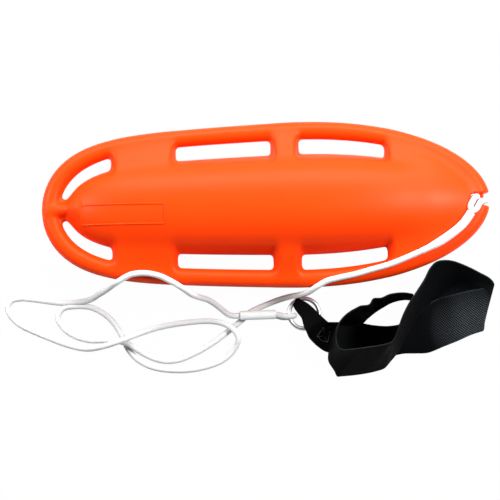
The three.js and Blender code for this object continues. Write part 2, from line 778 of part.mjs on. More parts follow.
// Finishes and assembly

function finish(color, roughness, metalness) {
  return new THREE.MeshStandardMaterial({ color, roughness, metalness });
}

function place(group, name, geometry, material) {
  const bare = geometry.index ? geometry : mergeVertices(geometry);
  bare.computeVertexNormals();
  const mesh = new THREE.Mesh(bare, material);
  mesh.name = name;
  group.add(mesh);
}

function buildFloat(group) {
  const whole = hollowFloat();
  place(group, 'upper_shell', halfShell(whole, true), finish('#f4501c', 0.42, 0));
  place(group, 'lower_shell', halfShell(whole, false), finish('#f0491a', 0.42, 0));
  place(group, 'foam_core', foamCore(), finish('#efe6cf', 0.9, 0));
  place(group, 'fill_plug', fillPlug(), finish('#d8430f', 0.5, 0));
  place(group, 'plug_gasket', plugGasket(), finish('#262626', 0.8, 0));
}

function buildRope(group) {
  place(group, 'nose_eye', ropeLoop(NOSE_EYE_ROUTE.map(vector), ROPE_RADIUS),
    finish('#f2f1ec', 0.8, 0));
  place(group, 'eye_splice', ropeAlong(SPLICE_ROUTE, SPLICE_RADIUS, 2 * SPLICE_ROUTE.length),
    finish('#efeee8', 0.82, 0));
  place(group, 'tow_rope', ropeAlong(ROPE_ROUTE, ROPE_RADIUS, ROPE_ROUTE.length - 1),
    finish('#f4f3ee', 0.8, 0));
  place(group, 'rope_sleeve', ropeAlong(SLEEVE_ROUTE, SLEEVE_RADIUS, 2 * SLEEVE_ROUTE.length),
    finish('#fafaf8', 0.5, 0));
  place(group, 'ring_eye', ringEye(ROPE_RADIUS), finish('#f1f0ea', 0.8, 0));
}

function buildStrap(group) {
  place(group, 'tow_ring', towRing(), finish('#c9ccd0', 0.22, 1));
  place(group, 'strap_fold', strapFold(), finish('#1b1d22', 0.75, 0));
  place(group, 'strap_stitching', strapStitching(), finish('#2a2c32', 0.8, 0));
  place(group, 'shoulder_strap', shoulderStrap(), finish('#1c1e24', 0.72, 0));
}

const buoy = new THREE.Group();
buoy.name = 'rescue_can_buoy';
buildFloat(buoy);
buildRope(buoy);
buildStrap(buoy);

export default buoy;
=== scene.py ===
"""Rescue can buoy: the look of the float, its tow rope, ring and shoulder strap."""

import math

import bpy
import numpy as np
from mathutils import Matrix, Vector
from numpy.linalg import norm


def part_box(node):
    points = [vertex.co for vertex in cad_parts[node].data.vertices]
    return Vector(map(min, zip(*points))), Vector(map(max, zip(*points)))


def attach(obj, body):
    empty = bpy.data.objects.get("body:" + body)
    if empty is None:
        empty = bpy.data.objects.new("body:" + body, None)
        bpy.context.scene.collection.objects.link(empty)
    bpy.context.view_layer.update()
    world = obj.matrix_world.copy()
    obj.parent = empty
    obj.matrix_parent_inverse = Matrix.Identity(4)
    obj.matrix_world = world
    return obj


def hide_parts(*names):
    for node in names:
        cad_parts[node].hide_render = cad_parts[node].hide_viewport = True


bl_info = {
    "name": "Rescue can buoy",
    "version": (1, 0, 0),
    "blender": (4, 5, 0),
    "location": "View3D > Sidebar > Buoy",
    "description": "Builds a rescue can with its tow rope, ring and shoulder strap",
    "category": "Object",
}

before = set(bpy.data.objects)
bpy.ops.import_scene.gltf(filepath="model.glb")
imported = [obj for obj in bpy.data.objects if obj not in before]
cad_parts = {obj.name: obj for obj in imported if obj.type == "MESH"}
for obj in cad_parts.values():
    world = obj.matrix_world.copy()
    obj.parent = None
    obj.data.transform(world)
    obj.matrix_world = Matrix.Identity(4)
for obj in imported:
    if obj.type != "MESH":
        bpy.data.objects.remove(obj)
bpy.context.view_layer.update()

# Plan outline of the float, in metres
HULL_LENGTH = 0.720
HULL_HALF_WIDTH = 0.134
WIDEST_X = 0.056
MID_Z = 0.065
TAIL_LENGTH = HULL_LENGTH / 2 + WIDEST_X
NOSE_LENGTH = HULL_LENGTH / 2 - WIDEST_X
TAPER_POWER = 1.3
NOSE_POWER = 2.15

# Taper share, tail power and nose root of the outline, the body's width and its height
OUTLINE_FORM = (0.172, 7.0, 0.52)
BODY_WIDTH_FORM = (0.172, 8.0, 0.52)
BODY_HEIGHT_FORM = (0.3, 8.0, 0.9)

# Grab rail and hand slots
RAIL_WIDTH = 0.0285
RAIL_HALF_HEIGHT = 0.015
SLOT_WIDTH = 0.026
SLOT_CORNER = 0.007
SLOT_MIDDLE = RAIL_WIDTH + SLOT_WIDTH / 2

# Start and end of each slot: axis (0 is x, 1 is y) and place on it
SLOTS = (
    ((1, 0.0175), (0, -0.247)),
    ((0, -0.144), (0, 0.0105)),
    ((0, 0.054), (0, 0.194)),
)

# Torpedo body
BODY_HALF_WIDTH = 0.077
BODY_TAIL_LENGTH = 0.376
BODY_NOSE_LENGTH = 0.300
BODY_HALF_HEIGHT = 0.065
BELLY_HALF_HEIGHT = 0.0685
BODY_SQUARENESS = 2.2
FOOT_BLENDS = (0.012, 0.005)

# Raised ground between neighbouring slots and over the nose
SWELL_SPANS = ((-0.2415, -0.1495), (0.0155, 0.0495), (0.1985, 0.351))
SKIRT_WIDTH = 0.009
SWELL_HEIGHT_SHARES = (0.8, 1.0)
SWELL_SQUARENESS = (1.5, 1.6)
NOSE_RISE_X = (0.2, 0.275)
SWELL_ROUNDING = 0.009
SWELL_BLEND = 0.008

# Least half width and height of a rounded solid, for its field at the tips
LEAST_HALF = 0.002

# Thin web at the tail, and stations of the raised neck that crosses it
TAIL_WEB_X = -0.295
TAIL_WEB_DEPTH = 0.0016
NECK_X = (-0.352, -0.331, -0.316, -0.3)
NECK_HALF_WIDTHS = (0.0165, 0.0125, 0.0105, 0.016)
NECK_HEIGHTS = (0.0155, 0.0185, 0.022, 0.032)
NECK_BLEND = 0.004

# Half width of a line of painted shade round the hull, where the mould parts
SEAM_HALF_WIDTH = 0.0004

# Gaps beside and above the fill plug
PLUG_GAPS = (0.0006, 0.0003)

# Foam filling
FOAM_INSET = 0.006
POCKET_RADIUS = 0.0185
POCKET_TOP_Z = 0.0225

# Nose fittings
TOW_HOLE_X = 0.335
TOW_HOLE_RADIUS = 0.0095
BRIDGE_FRONT_X = 0.3495
BRIDGE_HALF_HEIGHT = 0.006
GROOVE_X = (0.338, 0.3615)
GROOVE_HALF_WIDTHS = (0.009, 0.0114)
EDGE_BLEND = 0.0025

# Raised rectangle on the back
LABEL_CENTRE = (-0.2268, -0.0138)
LABEL_TURN = math.radians(-1.2)
LABEL_SIZE = (0.134, 0.031)
LABEL_CORNER = 0.003
LABEL_RIM = (0.00156, 0.0017)
LABEL_PROFILE = ((1.0, -0.6), (0.8, 0.35), (0.35, 0.9), (-0.35, 0.9), (-0.8, 0.35), (-1.0, -0.6))

# Ring and the rope's eye on it
RING_CENTRE = (0.058, -0.173, 0.0136)
RING_MEAN_RADIUS = 0.0245
RING_WIRE_RADIUS = 0.0035
RING_WELD_TURN = 5.2
RING_WELD_SPAN = 0.06
RING_WELD_RISE = 0.0003

# Rope, splice and sleeve
ROPE_RADIUS = 0.00475
SPLICE_RADIUS = 0.0068
SPLICE_END_RADIUS = 1.06 * ROPE_RADIUS
SPLICE_TAPER = (0.6, 0.9)
SPLICE_TUCK = 0.2 * ROPE_RADIUS
SLEEVE_RADIUS = 0.0075
SLEEVE_END_STEP = 0.0012
TIP_SPAN = (0.93, 1.0)


def in_metres(rows):
    """Rows of places that are written in tenths of a millimetre."""
    return [tuple(value / 10000.0 for value in row) for row in rows]


# Route of the free rope from the splice on the nose to the sleeve
ROPE_ROUTE = in_metres([
    (2456, -817.5, 904), (2190, -925, 874), (1930, -1020, 860), (1660, -1090, 860),
    (1390, -1160, 860), (1130, -1210, 860), (920, -1260, 850), (770, -1340, 810), (630, -1420, 690),
    (480, -1450, 520), (350, -1460, 340), (200, -1490, 190), (40, -1540, 90), (-170, -1620, 50),
    (-310, -1690, 50), (-430, -1800, 50), (-580, -1920, 50), (-940, -2180, 50), (-1220, -2330, 50),
    (-1490, -2430, 50), (-1720, -2440, 50), (-1950, -2370, 50), (-2140, -2260, 90),
    (-2300, -2150, 150), (-2470, -2100, 155), (-2670, -2080, 90), (-2940, -2070, 50),
    (-3190, -1990, 50), (-3370, -1850, 50), (-3450, -1690, 50), (-3370, -1550, 50),
    (-3140, -1510, 50), (-2890, -1540, 50), (-2640, -1690, 50), (-2480, -1880, 50),
    (-2380, -2070, 50), (-2300, -2240, 50), (-2150, -2410, 50), (-1900, -2540, 50),
    (-1490, -2600, 50), (-1120, -2570, 50), (-780, -2460, 50), (-570, -2280, 90),
    (-500, -2100, 155), (-580, -1960, 160), (-740, -1860, 120), (-980, -1810, 60),
    (-1400, -1830, 55), (-1780, -1890, 100), (-2080, -1980, 190), (-2380, -2090, 265),
    (-2700, -2180, 200), (-2980, -2210, 90), (-3260, -2150, 50), (-3570, -2030, 50),
    (-3840, -1910, 50), (-4070, -1790, 50), (-4220, -1640, 50), (-4270, -1490, 50),
    (-4200, -1390, 50), (-4050, -1360, 50), (-3840, -1380, 50), (-3600, -1420, 50),
    (-3380, -1450, 60), (-3140, -1450, 70), (-2920, -1420, 160), (-2740, -1350, 380),
    (-2570, -1280, 620), (-2400, -1190, 820), (-2180, -1080, 860), (-1950, -1060, 860),
    (-1720, -1110, 860), (-1520, -1210, 860), (-1360, -1310, 800), (-1230, -1400, 660),
    (-1110, -1440, 480), (-990, -1470, 300), (-880, -1530, 170), (-770, -1620, 140),
    (-660, -1710, 170), (-570, -1740, 190), (-475, -1740, 188),
])

SPLICE_ROUTE = in_metres([
    (3250, -230, 890), (3140, -380, 892), (3000, -505, 896), (2730, -685, 900), (2465, -813, 904),
    (2382, -848, 896),
])

NOSE_EYE_ROUTE = in_metres([
    (3470, -35, 774), (3422, -50, 827), (3385, -100, 864), (3339, -172, 866), (3272, -196, 870),
    (3248, -125, 876), (3285, -50, 882), (3325, 8, 876), (3362, 30, 825), (3378, 28, 750),
    (3382, 24, 650), (3386, 20, 576), (3422, 15, 536), (3470, 10, 528), (3533, 0, 551),
    (3556, -6, 620), (3556, -14, 680), (3535, -24, 750),
])

RING_EYE_ROUTE = in_metres([
    (421, -1758, 136), (404, -1761, 196), (339, -1771, 224), (265, -1768, 214), (185, -1748, 172),
    (105, -1730, 125), (60, -1735, 112), (105, -1742, 85), (185, -1768, 56), (265, -1780, 50),
    (339, -1775, 49), (404, -1761, 76),
])

SLEEVE_ROUTE = in_metres([
    (-470, -1740, 188), (-320, -1738, 180), (-170, -1736, 160), (-20, -1733, 132),
    (128, -1730, 104),
])

# Width of the picture at the float, and the float's middle in it
VIEW_WIDTH = 0.8035
VIEW_SHIFT = (0.0257, 0.0718)

# Floor, and name, place, size and power of each light
FLOOR_HALF = 4.0
FLOOR_DROP = 0.0006
WHITE = (1.0, 1.0, 1.0, 1.0)
LIGHTS = (
    ("top light", (0.1, 1.1, 0.95), (2.2, 0.8), 47.0),
    ("left light", (-1.5, 0.4, 1.05), (0.5, 0.5), 22.0),
    ("right light", (1.33, 0.2, 1.45), (0.3, 0.3), 41.0),
)
LIGHT_AIM = (0.0, 0.0, 0.05)


# Settings shown in the sidebar


def colour_setting(name, about, default):
    return bpy.props.FloatVectorProperty(
        name=name, description=about, subtype="COLOR", size=3, min=0.0, max=1.0, default=default)


def length_setting(name, about, low, high, default):
    return bpy.props.FloatProperty(
        name=name, description=about, unit="LENGTH", min=low, max=high, default=default)


def angle_setting(name, about, degrees):
    return bpy.props.FloatProperty(
        name=name, description=about, subtype="ANGLE", default=math.radians(degrees))


class FloatSettings(bpy.types.PropertyGroup):
    """Colour and mesh step of the float."""

    colour: colour_setting("Float colour", "Base colour of the moulded plastic", (0.92, 0.046, 0.0012))
    step: length_setting("Mesh step", "Spacing of the float's mesh", 0.001, 0.01, 0.0021)


class RopeSettings(bpy.types.PropertyGroup):
    """Colours of the rope, its sleeve and the ring."""

    colour: colour_setting("Rope colour", "Base colour of the braided rope", (0.7, 0.705, 0.7))
    sleeve: colour_setting("Sleeve colour", "Base colour of the sleeve", (0.76, 0.79, 0.78))
    ring: colour_setting("Ring colour", "Base colour of the steel ring", (0.9, 0.9, 0.91))


class StrapSettings(bpy.types.PropertyGroup):
    """Colours and thickness of the webbing."""

    colour: colour_setting("Webbing colour", "Base colour of the webbing", (0.0014, 0.0015, 0.0018))
    # The same colour paints a sheen patch on the webbing, in place of light falling on one panel
    sheen_and_selvedge: colour_setting("Sheen and selvedge colour", "Colour of the worn weave and of the selvedges", (0.12, 0.135, 0.15))
    thickness: length_setting("Thickness", "Thickness of one layer of webbing", 0.0005, 0.01, 0.002)


class StageSettings(bpy.types.PropertyGroup):
    """Place of the camera."""

    azimuth: angle_setting("Azimuth", "Turn of the camera about Z", -1.5)
    elevation: angle_setting("Elevation", "Camera angle above the horizon", 84.5)
    distance: length_setting("Distance", "Camera distance from the float", 0.1, 20.0, 2.2)


# Small helpers


def smooth_step(low, high, value):
    share = np.clip((value - low) / (high - low), 0.0, 1.0)
    return share * share * (3.0 - 2.0 * share)


def blend(pair, share):
    return pair[0] + share * (pair[1] - pair[0])


def unit(rows):
    return rows / norm(rows, axis=-1, keepdims=True)


def spline(points, closed=False, step=0.002):
    """Smooth line through the points, sampled about every step."""
    points = np.asarray(points, dtype=float)
    before, after = points[-1:], points[:2]
    if not closed:
        before, after = 2 * points[:1] - points[1:2], 2 * points[-1:] - points[-2:-1]
    run = np.vstack([before, points, after])
    out = []
    for quad in zip(run, run[1:], run[2:], run[3:]):
        pieces = max(2, math.ceil(norm(quad[2] - quad[1]) / step))
        out += [hermite(quad, piece / pieces) for piece in range(pieces)]
    return np.array(out if closed else out + [points[-1]])


def hermite(quad, share):
    """Centripetal curve between the two middle points."""
    gaps = [max(math.sqrt(norm(b - a)), 1e-4) for a, b in zip(quad, quad[1:])]
    start = slope_at(*quad[:3], *gaps[:2]) * gaps[1]
    end = slope_at(*quad[1:], *gaps[1:]) * gaps[1]
    s2, s3 = share * share, share ** 3
    return ((2 * s3 - 3 * s2 + 1) * quad[1] + (s3 - 2 * s2 + share) * start
            + (3 * s2 - 2 * s3) * quad[2] + (s3 - s2) * end)


def slope_at(before, here, after, gap_in, gap_out):
    return ((here - before) / gap_in - (after - before) / (gap_in + gap_out)
            + (after - here) / gap_out)


def line_lengths(line):
    steps = norm(np.diff(line, axis=0), axis=1)
    return np.concatenate([[0.0], np.cumsum(steps)])


def at_length(line, lengths, wanted):
    """Place on a line at each wanted running length."""
    return np.stack([np.interp(wanted, lengths, part) for part in line.T], axis=-1)


def shown(name, data):
    thing = bpy.data.objects.new(name, data)
    bpy.context.scene.collection.objects.link(thing)
    return thing


def mesh_object(name, points, faces):
    mesh = bpy.data.meshes.new(name)
    mesh.from_pydata(points, [], faces)
    mesh.validate()
    mesh.shade_smooth()
    return shown(name, mesh)


def ring_mesh(name, points, alongs, arounds, closed=False):
    """Mesh of rings of points, with texture places along the run and around it."""
    size, last = len(arounds) - 1, len(alongs) - 1
    faces = [((ring, side), (ring + 1, side), (ring + 1, side + 1), (ring, side + 1))
             for ring in range(last) for side in range(size)]
    if not closed:
        faces.append([(0, side) for side in range(size)])
        faces.append([(last, side) for side in reversed(range(size))])
    count = len(points) // size
    thing = mesh_object(name, points, [
        [ring % count * size + side % size for ring, side in face] for face in faces])
    places = [(alongs[ring], arounds[side]) for face in faces for ring, side in face]
    layer = thing.data.uv_layers.new(name="along")
    layer.data.foreach_set("uv", np.ravel(places).astype(np.float32))
    return thing


def slopes(line, closed):
    if closed:
        return unit(np.roll(line, -1, axis=0) - np.roll(line, 1, axis=0))
    return unit(np.gradient(line, axis=0))


def line_frames(line, closed=False):
    """Two cross directions at each point of a line, carried along without twist."""
    ahead = slopes(line, closed)
    side = np.cross(ahead[0], (0.0, 0.0, 1.0))
    if norm(side) < 0.1:
        side = np.cross(ahead[0], (0.0, 1.0, 0.0))
    sides = []
    for direction in ahead:
        side = unit(side - direction * side.dot(direction))
        sides.append(side)
    sides = np.array(sides)
    if closed:
        sides = spread_twist(sides, ahead)
    return sides, np.cross(ahead, sides)


def spread_twist(sides, ahead):
    """Shares out the twist left at the join of a closed line."""
    first, last, along = sides[0], sides[-1], ahead[0]
    last = unit(last - along * last.dot(along))
    turn = math.atan2(np.cross(last, first).dot(along), last.dot(first))
    ups = np.cross(ahead, sides)
    turns = turn * np.arange(len(sides)) / (len(sides) - 1)
    return sides * np.cos(turns)[:, None] + ups * np.sin(turns)[:, None]


def tube(name, line, radius, sides=16, closed=False):
    """Round tube along a line, with its length and turn as texture places."""
    radius = np.broadcast_to(radius, len(line))[:, None]
    across, up = line_frames(line, closed)
    turns = np.arange(sides) * 2 * math.pi / sides
    rings = (line[:, None, :]
             + across[:, None, :] * (radius * np.cos(turns))[..., None]
             + up[:, None, :] * (radius * np.sin(turns))[..., None])
    lengths = line_lengths(np.vstack([line, line[:1]]) if closed else line)
    arounds = np.linspace(0.0, 1.0, sides + 1)
    return ring_mesh(name, rings.reshape(-1, 3), lengths, arounds, closed)


def rounded_rectangle(half_x, half_y, corner, turns, extra=0):
    """Points once round a rectangle, with extra ones along its long sides."""
    points = []
    for quarter, (along, across) in enumerate(((1, 1), (-1, 1), (-1, -1), (1, -1))):
        for turn in (quarter + np.linspace(0.0, 1.0, turns)) * math.pi / 2:
            points.append((along * (half_x - corner) + corner * math.cos(turn),
                           across * (half_y - corner) + corner * math.sin(turn)))
        if quarter % 2 == 0:
            for share in np.linspace(1.0, -1.0, extra + 2)[1:-1]:
                points.append((along * (half_x - corner) * share, across * half_y))
    return points


# Float surface


def torpedo(x, size, lengths, taper_share, tail_power, nose_root):
    """Half size along x of a form that narrows to the tail and to the nose."""
    tail = np.clip((WIDEST_X - x) / lengths[0], 0.0, 1.0)
    nose = np.clip((x - WIDEST_X) / lengths[1], 0.0, 1.0)
    taper = 1.0 - taper_share * tail ** TAPER_POWER
    rear = size * taper * np.sqrt(1.0 - tail ** tail_power)
    front = size * (1.0 - nose ** NOSE_POWER) ** nose_root
    return np.where(x < WIDEST_X, rear, front)


def outline_half_width(x, inset):
    lengths = (TAIL_LENGTH - inset, NOSE_LENGTH - inset)
    return torpedo(x, HULL_HALF_WIDTH - inset, lengths, *OUTLINE_FORM)


def outline_side(inset, steps=120):
    """One side of the outline from tail tip to nose tip, closely spaced."""
    shares = 1.0 - (np.arange(steps + 1) / steps) ** 3
    tail = WIDEST_X - (TAIL_LENGTH - inset) * shares
    nose = WIDEST_X + (NOSE_LENGTH - inset) * shares[::-1][1:]
    x = np.concatenate([tail, nose])
    return np.stack([x, outline_half_width(x, inset)], axis=1)


def slot_ends(slot, line, lengths):
    """Running lengths at which a slot begins and ends on one line of the outline."""
    rising = line[:, 0] < WIDEST_X
    ends = []
    for axis, value in slot:
        part = rising if axis else slice(None)
        ends.append(np.interp(value, line[part, axis], lengths[part]))
    return ends


def place_in_slot(slot, share, wide):
    line = outline_side(SLOT_MIDDLE + wide)
    lengths = line_lengths(line)
    first, last = slot_ends(slot, line, lengths)
    return at_length(line, lengths, first + (last - first) * share)


def slot_outline(slot):
    """Rounded rectangle laid along the outline, as points of the plan."""
    middle = outline_side(SLOT_MIDDLE)
    start, end = slot_ends(slot, middle, line_lengths(middle))
    points = rounded_rectangle((end - start) / 2, SLOT_WIDTH / 2, SLOT_CORNER, 9, extra=20)
    return np.array([place_in_slot(slot, long / (end - start) + 0.5, wide) for long, wide in points])


def distance_to_line(points, line):
    """Shortest distance from each point to a line of segments."""
    best = np.full(len(points), np.inf)
    for start, end in zip(line, line[1:]):
        along = end - start
        if not along.any():
            continue
        share = np.clip((points - start).dot(along) / along.dot(along), 0.0, 1.0)
        gap = points - start - share[:, None] * along
        best = np.minimum(best, np.einsum("ij,ij->i", gap, gap))
    return np.sqrt(best)


def inside_loop(points, loop):
    inside = np.zeros(len(points), dtype=bool)
    for (ax, ay), (bx, by) in zip(loop, np.roll(loop, -1, axis=0)):
        if ay == by:
            continue
        spans = (ay > points[:, 1]) != (by > points[:, 1])
        cross = (bx - ax) * (points[:, 1] - ay) / (by - ay) + ax
        inside ^= spans & (points[:, 0] < cross)
    return inside


def plan_distance(x, y):
    """Distance inside the slotted plate's edge, negative outside it."""
    grid_x, grid_y = np.meshgrid(x, np.abs(y), indexing="ij")
    points = np.stack([grid_x.ravel(), grid_y.ravel()], axis=1)
    edge = distance_to_line(points, outline_side(0.0))
    inside = points[:, 1] < outline_half_width(points[:, 0], 0.0)
    distance = np.where(inside, edge, -edge)
    web = np.maximum(RAIL_WIDTH - edge, TAIL_WEB_DEPTH)
    thin = inside & (points[:, 0] < TAIL_WEB_X)
    distance = np.where(thin, np.minimum(distance, web), distance)
    for slot in SLOTS:
        loop = slot_outline(slot)
        edge = distance_to_line(points, np.vstack([loop, loop[:1]]))
        distance = np.minimum(distance, np.where(inside_loop(points, loop), -edge, edge))
    return distance.reshape(grid_x.shape)


def body_half_width(x):
    return torpedo(x, BODY_HALF_WIDTH, (BODY_TAIL_LENGTH, BODY_NOSE_LENGTH), *BODY_WIDTH_FORM)


def body_half_height(x):
    return torpedo(x, BODY_HALF_HEIGHT, (BODY_TAIL_LENGTH, NOSE_LENGTH), *BODY_HEIGHT_FORM)


def body_top(x, y):
    """Height of the body's back at a place of the plan."""
    share = np.clip(np.abs(y) / body_half_width(x), 0.0, 1.0)
    rise = (1.0 - share ** BODY_SQUARENESS) ** (1.0 / BODY_SQUARENESS)
    return MID_Z + body_half_height(x) * rise


def smooth_least(a, b, reach):
    share = np.clip(1.0 - np.abs(a - b) / reach, 0.0, 1.0)
    return np.minimum(a, b) - share * share * reach / 4


def lens_field(section, y, z, step):
    """About the distance to a long rounded solid, negative inside."""
    width, height, power = (np.broadcast_to(part, len(section[0]))[:, None, None] for part in section)
    width, height = np.maximum(width, LEAST_HALF), np.maximum(height, LEAST_HALF)
    rise = z[None, None, :]
    belly = height * BELLY_HALF_HEIGHT / BODY_HALF_HEIGHT
    up = np.abs(rise) / np.where(rise > 0.0, height, belly)
    level = ((np.abs(y)[None, :, None] / width) ** power + up ** power) ** (1.0 / power) - 1.0
    along, across, upward = np.gradient(level, step)
    round_it = across * across + upward * upward
    slope = np.sqrt(round_it + np.minimum(along * along, round_it))
    return level / np.maximum(slope, 1.0)


def body_field(x, y, z, step):
    section = (body_half_width(x), body_half_height(x), BODY_SQUARENESS)
    distance = lens_field(section, y, z, step)
    past = np.maximum(WIDEST_X - BODY_TAIL_LENGTH - x, x - WIDEST_X - BODY_NOSE_LENGTH)
    past = past[:, None, None]
    outside = np.hypot(np.maximum(distance, 0.0), np.maximum(past, 0.0))
    return outside + np.minimum(distance, 0.0) * (past < 0.0)


def swell_field(x, y, z, step):
    """Raised ground between the slots, as pieces of one wide lens."""
    share = smooth_step(*NOSE_RISE_X, x)
    height = body_half_height(x) * blend(SWELL_HEIGHT_SHARES, share)
    power = blend(SWELL_SQUARENESS, share)
    lens = lens_field((outline_half_width(x, SKIRT_WIDTH), height, power), y, z, step)
    past = np.min([np.maximum(start - x, x - end) for start, end in SWELL_SPANS], axis=0)
    return -smooth_least(-lens, -past[:, None, None], SWELL_ROUNDING)


def neck_field(x, y, z, step):
    """Raised neck from the body's tail across the thin web to the rail."""
    width = np.interp(x, NECK_X, NECK_HALF_WIDTHS)
    height = np.interp(x, NECK_X, NECK_HEIGHTS)
    lens = lens_field((width, height, BODY_SQUARENESS), y, z, step)
    past = np.maximum(NECK_X[0] - x, x - NECK_X[-1])
    return np.maximum(lens, past[:, None, None])


def plate_field(x, y, z):
    radius = RAIL_WIDTH / 2
    depth = plan_distance(x, y)[:, :, None]
    over = np.clip((radius - depth) / radius, 0.0, None)
    up = z[None, None, :] / RAIL_HALF_HEIGHT
    return (np.sqrt(over * over + up * up) - 1.0) * (radius + RAIL_HALF_HEIGHT) / 2


def nose_field(x, y, z):
    """Negative in the tow hole, the rope grooves and the notch."""
    far_x = x[:, None, None]
    across = np.abs(y)[None, :, None]
    rise = np.abs(z)[None, None, :]
    hole = np.sqrt((far_x - TOW_HOLE_X) ** 2 + across ** 2) - TOW_HOLE_RADIUS
    share = (far_x - GROOVE_X[0]) / (GROOVE_X[1] - GROOVE_X[0])
    half = blend(GROOVE_HALF_WIDTHS, share)
    side = across - half
    groove = np.maximum(np.maximum(side, GROOVE_X[0] - far_x), BRIDGE_HALF_HEIGHT - rise)
    notch = np.maximum(side, BRIDGE_FRONT_X - far_x)
    return np.minimum(np.minimum(hole, groove), notch)


def well_field(x, y, z, radius, top):
    """Negative in an upright round well below the top, at the fill plug's place."""
    centre = sum(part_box("fill_plug"), Vector()) / 2
    away = np.sqrt((x[:, None] - centre.x) ** 2 + (y[None, :] - centre.y) ** 2) - radius
    return np.maximum(away[:, :, None], z[None, None, :] - (top - MID_Z))


def plug_field(x, y, z):
    """Negative in the round recess of the fill plug."""
    low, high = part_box("fill_plug")
    radius = (high.x - low.x) / 2 + PLUG_GAPS[0]
    return well_field(x, y, z, radius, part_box("plug_gasket")[1].z + PLUG_GAPS[1])


def float_field(x, y, z, step):
    body = smooth_least(body_field(x, y, z, step), swell_field(x, y, z, step), SWELL_BLEND)
    reach = blend(FOOT_BLENDS, smooth_step(*NOSE_RISE_X, x))
    plate = smooth_least(plate_field(x, y, z), neck_field(x, y, z, step), NECK_BLEND)
    whole = smooth_least(body, plate, reach[:, None, None])
    cut = np.minimum(nose_field(x, y, z), plug_field(x, y, z))
    whole = -smooth_least(-whole, cut, EDGE_BLEND)
    belly = z[None, None, :] + MID_Z
    return -smooth_least(-whole, belly, EDGE_BLEND / 2)


def shifted(field, offset):
    """The field at one corner of each cell."""
    cut = tuple(slice(o, size - 1 + o) for o, size in zip(offset, field.shape))
    return field[cut]


def surface_points(field):
    """One point for each cell that the surface crosses, and the cells' numbers."""
    cells = tuple(size - 1 for size in field.shape)
    total, count = np.zeros(cells + (3,)), np.zeros(cells, dtype=int)
    for axis, first, second in np.ndindex(3, 2, 2):
        start = np.insert([first, second], axis, 0)
        low = shifted(field, start)
        high = shifted(field, np.insert([first, second], axis, 1))
        where = (low < 0) != (high < 0)
        place = start + np.zeros((where.sum(), 3))
        place[:, axis] = low[where] / (low[where] - high[where])
        total[where] += place
        count[where] += 1
    active = count > 0
    numbers = np.full(cells, -1)
    numbers[active] = np.arange(active.sum())
    return np.argwhere(active) + total[active] / count[active][:, None], numbers


def surface_faces(field, numbers):
    """Four-cornered faces between the cells round each crossed edge of the grid."""
    faces = []
    for axis in range(3):
        others = [other for other in range(3) if other != axis]
        low, high = (np.delete(field, end, axis) < 0 for end in (-1, 0))
        edges = np.argwhere(low != high)
        sides = edges[:, others]
        inner = (sides > 0) & (sides < np.array(numbers.shape)[others])
        edges = edges[inner.all(axis=1)]
        corners = [numbers[tuple((edges - np.insert(back, axis, 0)).T)]
                   for back in ((1, 1), (0, 1), (0, 0), (1, 0))]
        quads = np.stack(corners, axis=1)
        turned = low[tuple(edges.T)] == (axis == 1)
        quads[turned] = quads[turned][:, ::-1]
        faces.append(quads)
    return np.concatenate(faces)


def sample_grid(grid, places):
    """Values between grid points, by straight blending."""
    base = np.clip(np.floor(places).astype(int), 0, np.array(grid.shape) - 2)
    part = places - base
    value = np.zeros(len(places))
    for corner in np.ndindex(2, 2, 2):
        weight = np.prod(np.where(corner, part, 1.0 - part), axis=1)
        value += weight * grid[tuple((base + corner).T)]
    return value


def settle_points(points, field):
    """Moves the points onto the surface along the field's slope."""
    rises = np.gradient(field)
    for _ in range(2):
        value = sample_grid(field, points)
        slope = np.stack([sample_grid(rise, points) for rise in rises], axis=1)
        size = np.maximum(np.einsum("ij,ij->i", slope, slope), 1e-12)
        shift = (value / size)[:, None] * slope
        points = points - np.clip(shift, -0.7, 0.7)
    return points


def foam_field(x, y, z, step):
    """The foam follows the torpedo body, with a pocket for the fill plug's boss."""
    pocket = well_field(x, y, z, POCKET_RADIUS, POCKET_TOP_Z)
    return np.maximum(body_field(x, y, z, step) + FOAM_INSET, -pocket)


def field_mesh(name, field_of, step):
    """Closed mesh of the surface at which a field is zero."""
    margin = 3 * step
    x = np.arange(-HULL_LENGTH / 2 - margin, HULL_LENGTH / 2 + margin, step)
    half = HULL_HALF_WIDTH + margin
    y = np.arange(-half, half, step)
    z = np.arange(-MID_Z - margin, BODY_HALF_HEIGHT + margin, step)
    field = field_of(x, y, z, step)
    points, numbers = surface_points(field)
    points = settle_points(points, field)
    quads = surface_faces(field, numbers)
    low = np.array([x[0], y[0], z[0] + MID_Z])
    return mesh_object(name, (low + points * step).tolist(), quads.tolist())


def label_line():
    """Closed line of the raised rectangle, on the body's back."""
    flat = rounded_rectangle(LABEL_SIZE[0] / 2, LABEL_SIZE[1] / 2, LABEL_CORNER, 5)
    cos, sin = math.cos(LABEL_TURN), math.sin(LABEL_TURN)
    flat = np.array(flat) @ np.array([[cos, sin], [-sin, cos]]) + np.array(LABEL_CENTRE)
    line = []
    for start, end in zip(flat, np.roll(flat, -1, axis=0)):
        pieces = max(1, int(norm(end - start) / 0.002))
        line.extend(start + (end - start) * piece / pieces for piece in range(pieces))
    line = np.array(line)
    return np.column_stack([line, body_top(line[:, 0], line[:, 1])])


def label_rim():
    """Low rounded ridge along the rectangle."""
    line = label_line()
    across = unit(np.cross((0.0, 0.0, 1.0), slopes(line, True)))
    points = [spot + side * reach * LABEL_RIM[0] + (0.0, 0.0, rise * LABEL_RIM[1])
              for spot, side in zip(line, across) for reach, rise in LABEL_PROFILE]
    return ring_mesh("label_rim", points, range(len(line) + 1), range(len(LABEL_PROFILE) + 1), closed=True)


# Strap


STITCH_SPAN = (0.146, 0.166)
STITCH_HALF = 0.009
STITCH_RADIUS = 0.00042
STITCH_PITCH = 0.0028
STITCH_ARC = ((0.12, 0.0007), (0.5, 0.0013), (0.88, 0.0007))
# Centre and reach of a patch of painted sheen on the webbing, in place of light falling on one panel
SHEEN_PATCH_CENTRE = (0.335, -0.2, 0.02)
SHEEN_PATCH_REACH = (0.02, 0.075)

